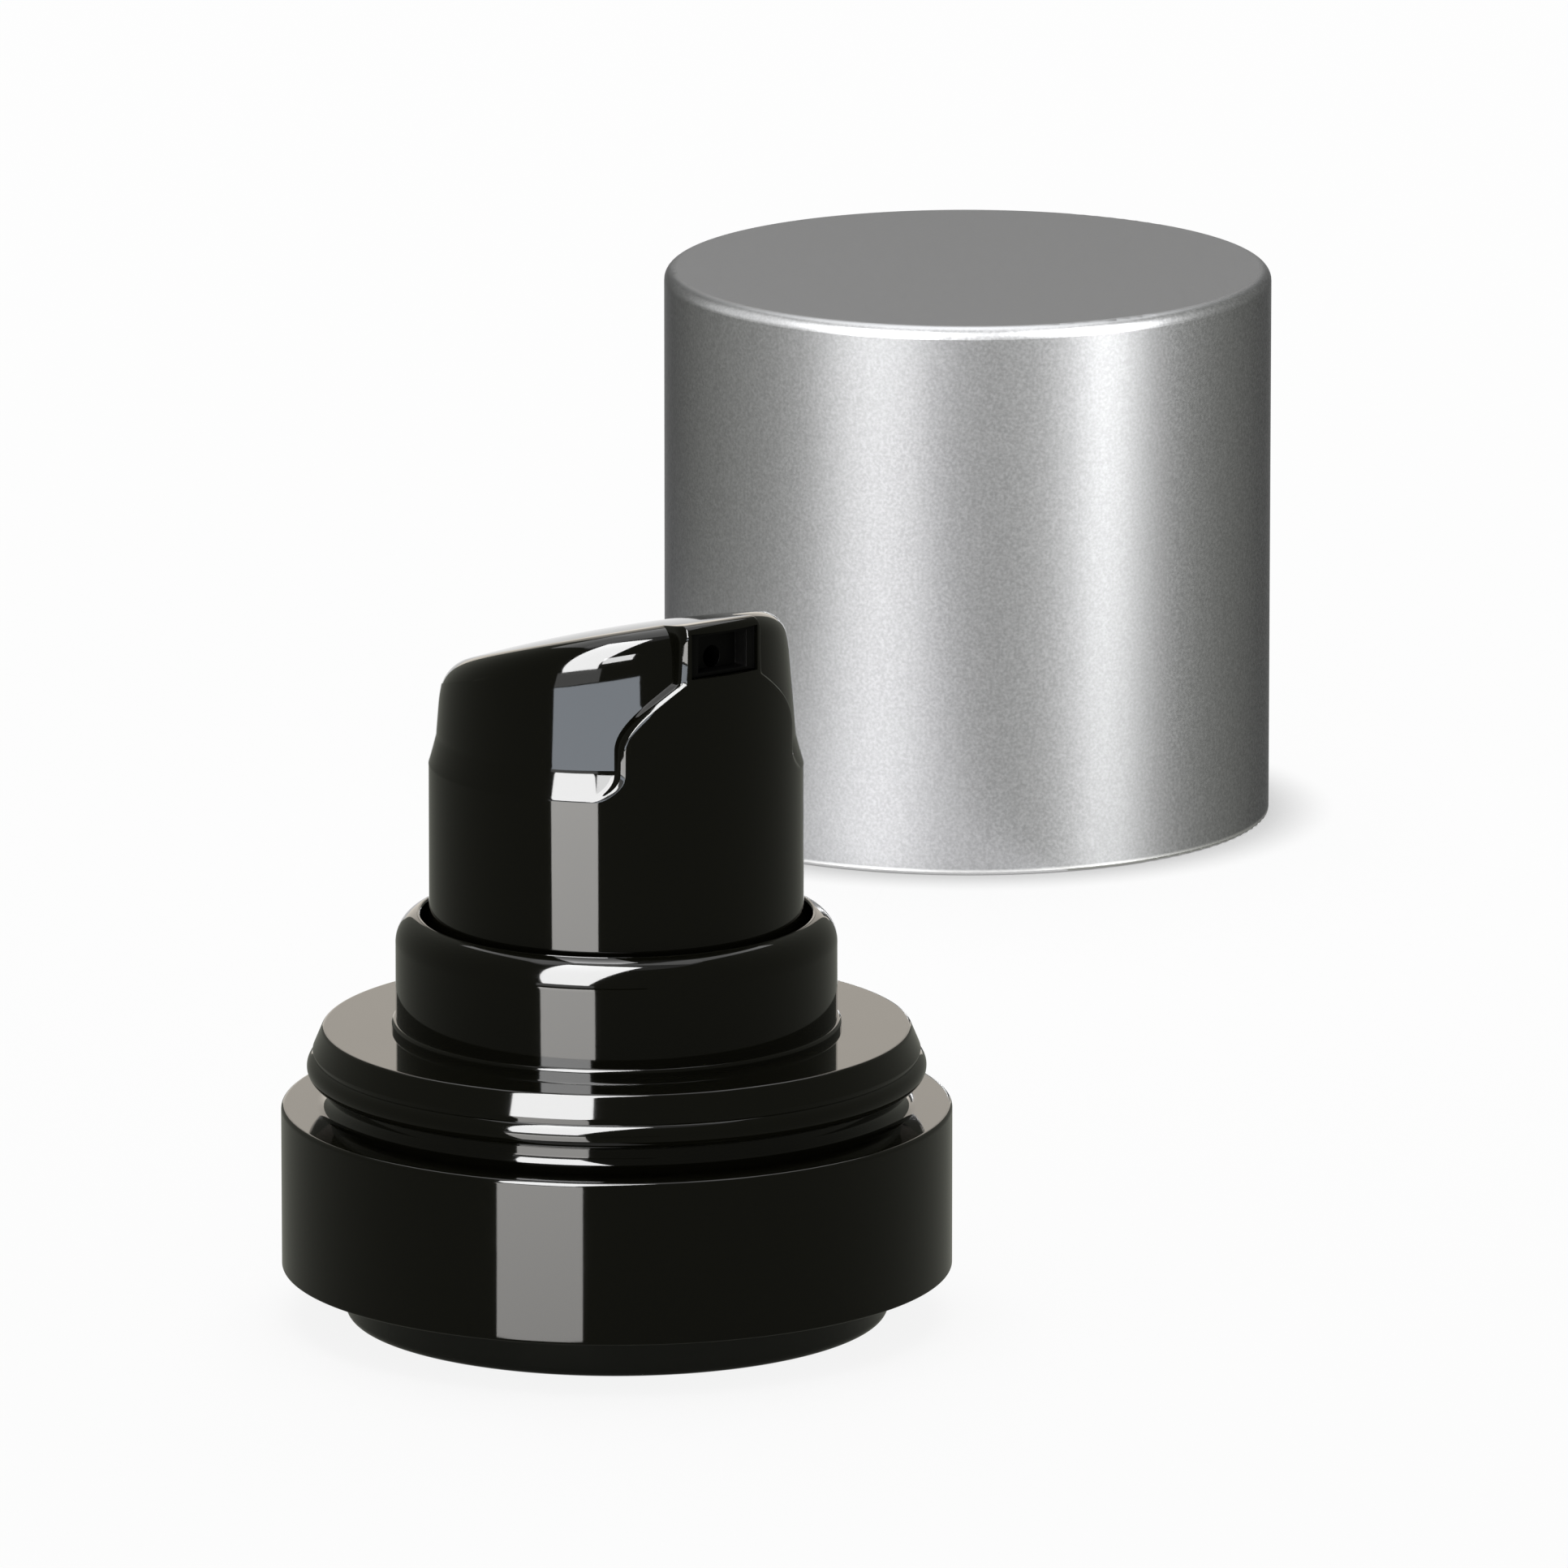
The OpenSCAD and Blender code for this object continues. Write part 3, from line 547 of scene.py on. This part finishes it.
# Collar: the outer ring that meets the bottle, the flat ledge, the neck groove and the round bead that
# the cap clips over, the sloping shoulder and the flat top face. All is one gloss black moulding,
# pressed over the plug's disc.
collar_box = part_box("collar")
ring_foot = collar_box[0].z / mm
collar_top = collar_box[1].z / mm
ring_r = -collar_box[0].y / mm
ledge_z = ring_foot + 9.8
ledge_t = 1.4
ring_wall = 1.3
sleeve_hole_r = 12.45
hollow_r = 15.6
neck_r = 17.0
bead_r = 18.45
bead_round = 0.8
bead_z = ledge_z + 2.35
bead_foot = 1.05
flange_r = 17.6
shoulder_r = 18.1
shoulder_z = bead_z + 1.0
top_t = 1.4
edge_r = 0.25
foot_edge_r = 0.12
cove_r = 0.85
lip_edge_r = 0.08
lip_undercut = 0.02
lip_t = 0.1
bead_end_in = 0.06
shoulder_turn = degrees(atan((shoulder_r - flange_r) / (collar_top - edge_r - shoulder_z)))
bead_turn = degrees(acos((shoulder_r - bead_end_in - bead_r + bead_round) / bead_round))
collar_outline = (
    arc(ring_r - foot_edge_r, ring_foot + foot_edge_r, foot_edge_r, 270, 360, 6)
    + arc(ring_r - edge_r, ledge_z - edge_r, edge_r, 0, 90, 6)
    + arc(neck_r + cove_r, ledge_z + cove_r, cove_r, 270, 180)
    + [(neck_r, bead_z - bead_foot)]
    + arc(bead_r - bead_round, bead_z, bead_round, -60, bead_turn, 20)
    + [(shoulder_r - lip_undercut, shoulder_z - lip_t)]
    + arc(shoulder_r - lip_edge_r, shoulder_z, lip_edge_r, 0, shoulder_turn, 3)
    + arc(flange_r - edge_r, collar_top - edge_r, edge_r, shoulder_turn, 90, 6)
    + [(sleeve_hole_r, collar_top), (sleeve_hole_r, collar_top - top_t), (hollow_r, collar_top - top_t),
       (hollow_r, ledge_z - ledge_t), (ring_r - ring_wall, ledge_z - ledge_t),
       (ring_r - ring_wall, ring_foot)]
)
closure_black = (0.0043, 0.0042, 0.0024)
turned_piece("collar_moulding", collar_outline, "closure", "collar",
             gloss_black("collar_gloss", closure_black, 0.05, 0.05))

# Guide sleeve: the round-topped tube that the button slides in, in the same gloss black plastic.
# Its foot ring stands on the collar's top face, and its spigot is pressed through the collar.
sleeve_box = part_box("guide_sleeve")
sleeve_top = sleeve_box[1].z / mm
sleeve_foot = sleeve_box[0].z / mm
foot_ring_r = sleeve_box[1].x / mm
foot_ring_h = 0.5
foot_round = 0.225
foot_ring_out = 0.25
sleeve_r = foot_ring_r - foot_ring_out
sleeve_bore_r = 11.65
sleeve_round = 1.85
round_end = 72
mouth_round = 0.16
mouth_drop = 0.22
sleeve_outline = (
    [(sleeve_hole_r, sleeve_foot), (sleeve_hole_r, collar_top), (foot_ring_r, collar_top)]
    + arc(foot_ring_r - foot_round, collar_top + foot_ring_h - foot_round, foot_round, 0, 90, 6)
    + [(sleeve_r, collar_top + foot_ring_h)]
    + arc(sleeve_r - sleeve_round, sleeve_top - sleeve_round, sleeve_round, 0, round_end, 24)
    + arc(sleeve_bore_r + mouth_round, sleeve_top - mouth_drop, mouth_round, round_end, 180, 8)
    + [(sleeve_bore_r, sleeve_foot)]
)
turned_piece("sleeve_moulding", sleeve_outline, "closure", "guide_sleeve",
             gloss_black("sleeve_gloss", closure_black, 0.05, 0.03))

# Piston rod, piston and stem: the working parts of the pump, in harder white plastics than the chamber.
# The rod's shank is pressed into the stem, and the piston slides a little on the stem to open the ports.
dress("piston_rod", natural_plastic("rod_plastic", (0.72, 0.73, 0.7), 0.3))
dress("piston", natural_plastic("piston_white", (0.88, 0.87, 0.84), 0.45))
dress("stem", natural_plastic("stem_plastic", (0.85, 0.84, 0.8), 0.28))


# Return spring: drawn stainless wire wound into an open coil, between the chamber cap and the stem's collar.
# The real coil closes up as the button goes down; this one is built at its rest length.
def spring_tree():
    tree, given = shape_tree("wound_spring", {
        "Turns": "Float", "Coil radius": "Float", "Wire radius": "Float", "Rise": "Float", "Foot": "Float",
        "Material": "Material"})
    helix = add_node(tree, "GeometryNodeCurveSpiral", {
        "Resolution": 48, "Reverse": True, "Rotations": given["Turns"], "Height": given["Rise"],
        "Start Radius": given["Coil radius"], "End Radius": given["Coil radius"]})
    wire = add_node(tree, "GeometryNodeCurvePrimitiveCircle", {
        "Resolution": 16, "Radius": given["Wire radius"]})
    sweep = add_node(tree, "GeometryNodeCurveToMesh", {
        "Curve": helix.outputs["Curve"], "Profile Curve": wire.outputs["Curve"], "Fill Caps": True})
    lift = add_node(tree, "ShaderNodeCombineXYZ", {"Z": given["Foot"]})
    stand = add_node(tree, "GeometryNodeTransform", {
        "Geometry": sweep.outputs["Mesh"], "Translation": lift.outputs[0]})
    show_shape(tree, stand.outputs[0], given["Material"])
    return tree


spring_low, spring_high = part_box("return_spring")
wire_r = 0.275 * mm
wire_shown = 0.98
coil_r = 3.3 * mm
spring_turns = 6.5
spring_len = spring_high.z - spring_low.z
spring_mesh = run_tree("spring_coil", bpy.data.meshes.new("spring_start"), spring_tree(), {
    "Turns": spring_turns, "Coil radius": coil_r, "Wire radius": wire_r * wire_shown,
    "Rise": spring_len - 2 * wire_r, "Foot": spring_low.z + wire_r,
    "Material": bright_steel("spring_wire", (0.5, 0.51, 0.52), 0.24, (1, 1, 0.2)),
})
close_and_crease(spring_mesh)
spring = place_piece("spring_coil", spring_mesh, "plunger", "return_spring")
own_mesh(spring)

# Button core: the dark grey moulding inside the button, with the disc, the socket for the stem and the duct.
# It is clipped into the skirt and is hidden by it, so it has the dull finish of an inside part.
dress("button_core", natural_plastic("core_grey", (0.028, 0.029, 0.026), 0.4))

# Button shell: a gloss black moulding with a round skirt, a hollow-curved step, a drafted upper body and a
# slanted, gently domed top. In front of it the bell-shaped nozzle panel stands out as far as the skirt does.
button_low, button_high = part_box("button_shell")
button_r = button_high.x / mm
skirt_z = button_low.z / mm
skirt_wall = 1.2
skirt_bore_r = button_r - skirt_wall
step_z = 33.6
inset = 0.45
cove_steep_h = 1.6
cove_slope, cove_bend = 0.306, 0.023
ease_h = 0.35
ease_slope, ease_bend = 0.2324, 0.332
cove_h = cove_steep_h + ease_h
side_taper = 0.08
soft_h = 1.3
soft_turn = radians(12)
crown_h = 8.185
crown_z = step_z + crown_h
top_tilt = radians(15.6)
dome_r = 80
rim_front_r = 1.5
rim_back_r = 2.6
panel_rim_r = 0.7
panel_top_a = 13.8
panel_foot_a = 33
panel_lean_a = 0.3
panel_corner_h = 6.9
panel_bend_h = 3.9
panel_flare_h = 1.6
panel_flare_a = 7.5
edge_a = 3.6
edge_places = (0, 0.06, 0.12, 0.5, 0.62, 0.9, 1)
edge_heights = (1, 0.992, 0.966, 0.754, 0.615, 0.125, 0)
panel_cols, edge_cols, back_cols = 16, 16, 84
side_rows, rim_rows, top_rows = 60, 16, 14
roof_wall = 1.35
roof_corner = 0.4
roof_r = button_r - inset - roof_wall - roof_corner
roof_rings = 6
core_disc_t = 1
core_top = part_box("button_core")[0].z / mm + core_disc_t
mould_edge = 0.2
mould_edge_middle = 0.06
shelf_row = 0.3
skirt_row = 1
step_row, step_row_last = 0.06, 0.02
nozzle_h_above_step = 8.55
nozzle_z = step_z + nozzle_h_above_step
nozzle_recess = 0.5
nozzle_w = 4.8
nozzle_h = 2.7
nozzle_depth = 1.5
tenon_w = 3.2
tenon_h = 2.9
tenon_drop = 1.3
tenon_depth = 3
pocket_lap = 0.05
rim_guess_in = 0.1
rim_passes = 6
button_crease = radians(34)


def eased(x):
    x = np.clip(x, 0, 1)
    return x * x * (3 - 2 * x)


def top_z(r, a):
    return crown_z + tan(top_tilt) * r * np.cos(a) - r * r / (2 * dome_r)


def panel_angle(z):
    h = z - step_z
    bend = np.clip((panel_corner_h - h) / panel_bend_h, 0, 1)
    flare = np.maximum(0, panel_flare_h - h) / panel_flare_h
    lean = np.maximum(0, np.minimum(h, crown_z - step_z) - panel_corner_h)
    return (panel_top_a - panel_lean_a * lean + (panel_foot_a - panel_top_a) * np.sin(bend * pi / 2)
            + panel_flare_a * flare ** 2)


column = np.arange(panel_cols + edge_cols + back_cols + 1)
across = np.clip((column - panel_cols) / edge_cols, 0, 1)
raised = np.interp(across, edge_places, edge_heights)


def column_angle(z):
    a = panel_angle(z)
    past = column - panel_cols - edge_cols
    degrees_round = np.where(
        column <= panel_cols, a * column / panel_cols,
        np.where(past <= 0, a + edge_a * (column - panel_cols) / edge_cols,
                 a + edge_a + (180 - a - edge_a) * past / back_cols))
    return np.radians(degrees_round)


def side_radius(z):
    h = z - step_z
    steep = np.clip(h, 0, cove_steep_h)
    cove = cove_slope * steep - cove_bend * steep ** 2
    ease = np.clip(h - cove_steep_h, 0, ease_h)
    cove = cove + ease_slope * ease - ease_bend * ease ** 2
    body = button_r - cove - side_taper * np.maximum(0, h - cove_h)
    return body + (button_r - body) * raised


top_a = column_angle(crown_z)
body_rim = rim_front_r + (rim_back_r - rim_front_r) * eased(top_a / pi)
rim = body_rim + (panel_rim_r - body_rim) * raised
rim_start = soft_turn * (1 - raised)
soft_in = (tan(soft_turn) - side_taper) * soft_h / 2 * (1 - raised)
rim_z = top_z(button_r - rim, top_a) - rim
for _ in range(rim_passes):
    rim_in = side_radius(rim_z + rim * np.sin(rim_start)) - soft_in - rim * np.cos(rim_start)
    rim_end = pi / 2 + np.arctan(tan(top_tilt) * np.cos(top_a) - (rim_in + rim * rim_guess_in) / dome_r)
    rim_end_r = rim_in + rim * np.cos(rim_end)
    rim_z = top_z(rim_end_r, top_a) - rim * np.sin(rim_end)
side_top = rim_z + rim * np.sin(rim_start)

still = np.zeros(len(column))
foot_a = column_angle(step_z)
roof_drop = roof_wall / cos(top_tilt) + roof_r ** 2 / (2 * dome_r)
roof = [(still + roof_r * k / roof_rings, foot_a,
         crown_z - roof_drop + tan(top_tilt) * roof_r * k / roof_rings * np.cos(foot_a))
        for k in range(1, roof_rings + 1)]
# The rows beside a sharp edge keep its shading crisp.
inside = [(still + r, foot_a, still + z) for r, z in (
    (roof_r, core_top + shelf_row), (roof_r, core_top), (skirt_bore_r, core_top),
    (skirt_bore_r, core_top - shelf_row),
    (skirt_bore_r, skirt_z + mould_edge), (skirt_bore_r + mould_edge_middle, skirt_z + mould_edge_middle),
    (skirt_bore_r + mould_edge, skirt_z), (button_r - mould_edge, skirt_z),
    (button_r - mould_edge_middle, skirt_z + mould_edge_middle), (button_r, skirt_z + mould_edge),
    (button_r, skirt_z + skirt_row), (button_r, step_z - skirt_row),
    (button_r, step_z - step_row), (button_r, step_z - step_row_last))]
outside = []
for step in range(side_rows + 1):
    z = step_z + (side_top - step_z) * step / side_rows
    soft = soft_in * (np.maximum(0, z - side_top + soft_h) / soft_h) ** 2
    outside.append((side_radius(z) - soft, column_angle(z), z))
for step in range(1, rim_rows + 1):
    q = rim_start + (rim_end - rim_start) * step / rim_rows
    outside.append((rim_in + rim * np.cos(q), top_a, rim_z + rim * np.sin(q)))
for step in range(1, top_rows):
    r = rim_end_r * (1 - step / top_rows)
    outside.append((r, top_a, top_z(r, top_a)))

rows = roof + inside + outside
points = [(0, 0, (crown_z - roof_drop) * mm)]
for r, a, z in rows:
    half = np.stack([r * np.sin(a), -r * np.cos(a), z], -1) * mm
    mirrored = half[-2:0:-1] * np.array([-1, 1, 1])
    points += [tuple(p) for p in np.concatenate([half, mirrored])]
points.append((0, 0, crown_z * mm))
around = 2 * len(column) - 2
faces = []
for k in range(around):
    after = (k + 1) % around
    faces.append((0, 1 + after, 1 + k))
    for j in range(len(rows) - 1):
        low, high = 1 + j * around, 1 + (j + 1) * around
        faces.append((low + k, low + after, high + after, high + k))
    last = 1 + (len(rows) - 1) * around
    faces.append((last + k, last + after, len(points) - 1))
button_mesh = bpy.data.meshes.new("button_moulding")
button_mesh.from_pydata(points, [], faces)


def block(width, height, middle_z, near, far):
    box_mesh = bpy.data.meshes.new("pocket")
    box_form = bmesh.new()
    bmesh.ops.create_cube(box_form, size=1, matrix=Matrix.LocRotScale(
        Vector((0, -(near + far) / 2 * mm, middle_z * mm)), None,
        Vector((width * mm, (far - near) * mm, height * mm))))
    box_form.to_mesh(box_mesh)
    box_form.free()
    return add_object("pocket", box_mesh)


nozzle_face = button_r - nozzle_recess
face_back = nozzle_face - nozzle_depth
pockets = [block(nozzle_w, nozzle_h, nozzle_z, face_back, button_r + 1),
           block(tenon_w, tenon_h, nozzle_z - tenon_drop, nozzle_face - tenon_depth, face_back + pocket_lap)]
whole = add_object("button_draft", button_mesh)
for pocket in pockets:
    cut = whole.modifiers.new("pocket", "BOOLEAN")
    cut.operation = "DIFFERENCE"
    cut.solver = "EXACT"
    cut.object = pocket
button_mesh = finished_mesh("button_moulding", whole)
for pocket in pockets:
    bpy.data.objects.remove(pocket)
close_and_crease(button_mesh, button_crease)
button_mesh.materials.clear()
button_mesh.materials.append(gloss_black("button_gloss", closure_black, 0.045, 0.03))
button = place_piece("button_moulding", button_mesh, "button", "button_shell")
# Low beside the window stands a narrow pale wall. It and the table's far sheen show only in the button,
# the wall in its sloping step and the sheen in its upper body.
low_wall_turn, low_wall_height = radians(-1), radians(19)
low_wall_w, low_wall_h = 0.36, 0.24
low_wall_radiance = 0.8 * window_radiance
low_wall = soft_panel("low_wall", low_wall_turn, low_wall_height, window_distance, low_wall_w, low_wall_h,
                      low_wall_radiance)
low_wall.visible_diffuse = False
step_gloss = bpy.data.collections.new("step_gloss")
step_gloss.objects.link(button)
low_wall.light_linking.receiver_collection = step_gloss
far_sheen.light_linking.receiver_collection = step_gloss

# Nozzle insert: a small gloss black block with the rectangular mouth, pressed into its pocket in the panel.
# Its tenon carries the end of the duct. The edges have the slight rounding that a mould leaves.
insert_edge_r = 0.06
insert_form = bmesh.new()
insert_form.from_mesh(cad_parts["nozzle_insert"].data)
bmesh.ops.remove_doubles(insert_form, verts=insert_form.verts, dist=1e-6)
bmesh.ops.dissolve_limit(insert_form, angle_limit=radians(1), verts=insert_form.verts,
                         edges=insert_form.edges)
insert_mesh = bpy.data.meshes.new("nozzle_block")
insert_form.to_mesh(insert_mesh)
insert_form.free()
whole = add_object("insert_draft", insert_mesh)
rounding = whole.modifiers.new("rounding", "BEVEL")
rounding.width = insert_edge_r * mm
rounding.segments = 3
rounding.limit_method = "ANGLE"
rounding.angle_limit = radians(50)
insert_mesh = finished_mesh("nozzle_block", whole)
close_and_crease(insert_mesh)
insert_mesh.materials.clear()
# Its black is darker and duller than the other mouldings', partly painted shade, so that the mouth shows as
# an even dark hole.
nozzle_black = gloss_black("nozzle_gloss", (0.0016, 0.0016, 0.0013), 0.35, 0.0)
nozzle_black.node_tree.nodes["Principled BSDF"].inputs["Specular IOR Level"].default_value = 0.08
insert_mesh.materials.append(nozzle_black)
place_piece("nozzle_block", insert_mesh, "button", "nozzle_insert")

# Cap liner: the black plastic cup inside the cap, with the small bead that clips over the collar's bead.
# It is moulded with a fine satin finish and shows only when the cap is lifted.
dress("cap_liner", natural_plastic("liner_black", (0.022, 0.022, 0.022), 0.42))

# Cap shell: a cup drawn from aluminium sheet, blasted to a fine matte sparkle and anodised silver.
# Its top face is an even grey, a little brighter than the sides, and a light grey band round its lower edge
# is a painted highlight.
highlight_band_low, highlight_band_high = 0.3 * mm, 0.45 * mm
top_face_low, top_face_high = cap_high.z - 0.2 * mm, cap_high.z - 0.05 * mm
strip_height = radians(25)
strip_distance = 1.0
strip_tall = 1.1
silver, tree, shader = new_material("cap_silver")
place = object_place(tree)
blast = add_node(tree, "ShaderNodeTexNoise", {"Vector": place, "Scale": 5200, "Detail": 3})
sparkle = add_node(tree, "ShaderNodeMapRange", {
    "Value": blast.outputs["Fac"], "From Min": 0.35, "From Max": 0.7})
drawn = add_node(tree, "ShaderNodeMapping", {"Vector": place, "Scale": (1, 1, 0.03)})
streaks = add_node(tree, "ShaderNodeTexNoise", {"Vector": drawn.outputs[0], "Scale": 700, "Detail": 2})
mixed = add_node(tree, "ShaderNodeMix", {
    "Factor": 0.25, "A": sparkle.outputs["Result"], "B": streaks.outputs["Fac"]})
metal = add_node(tree, "ShaderNodeMix", {
    "Factor": mixed.outputs["Result"], "A": (0.27, 0.272, 0.278, 1), "B": (0.345, 0.347, 0.354, 1)},
    data_type="RGBA")
height = add_node(tree, "ShaderNodeSeparateXYZ", {0: place})
# A painted highlight: a light grey band round the cap's lower edge.
painted_edge_highlight = add_node(tree, "ShaderNodeMapRange", {
    "Value": height.outputs["Z"], "From Min": highlight_band_low, "From Max": highlight_band_high,
    "To Min": 1, "To Max": 0})
top_face = add_node(tree, "ShaderNodeMapRange", {
    "Value": height.outputs["Z"], "From Min": top_face_low, "From Max": top_face_high})
even_top = add_node(tree, "ShaderNodeMix", {
    "Factor": top_face.outputs["Result"], "A": metal.outputs["Result"], "B": (0.33, 0.335, 0.345, 1)},
    data_type="RGBA")
with_edge_highlight = add_node(tree, "ShaderNodeMix", {
    "Factor": painted_edge_highlight.outputs["Result"], "A": even_top.outputs["Result"], "B": (0.62, 0.62, 0.62, 1)},
    data_type="RGBA")
matte = add_node(tree, "ShaderNodeMapRange", {
    "Value": blast.outputs["Fac"], "To Min": 0.34, "To Max": 0.42})
pits = add_node(tree, "ShaderNodeBump", {
    "Height": blast.outputs["Fac"], "Strength": 0.16, "Distance": 0.015 * mm})
feed(tree, shader, {
    "Base Color": with_edge_highlight.outputs["Result"], "Metallic": 1, "Specular Tint": (0.12, 0.12, 0.12, 1),
    "Roughness": matte.outputs["Result"], "Normal": pits.outputs["Normal"]})
cap = dress("cap_shell", silver)
# Two strips beside the camera give the cap its bright bands, and two weak fills the grey between them.
cap_light = bpy.data.collections.new("cap_light")
cap_light.objects.link(cap)
for name, azimuth, width, radiance in (
        ("left_strip", -35, 0.6, 13.5), ("left_fill", -88, 1.1, 1.5),
        ("right_strip", 52, 0.2, 49.0), ("wide_fill", -8, 1.9, 1.6)):
    strip = soft_panel(name, radians(azimuth), strip_height, strip_distance, width, strip_tall, radiance,
                       aim=cap_middle)
    strip.visible_diffuse = False
    strip.light_linking.receiver_collection = cap_light
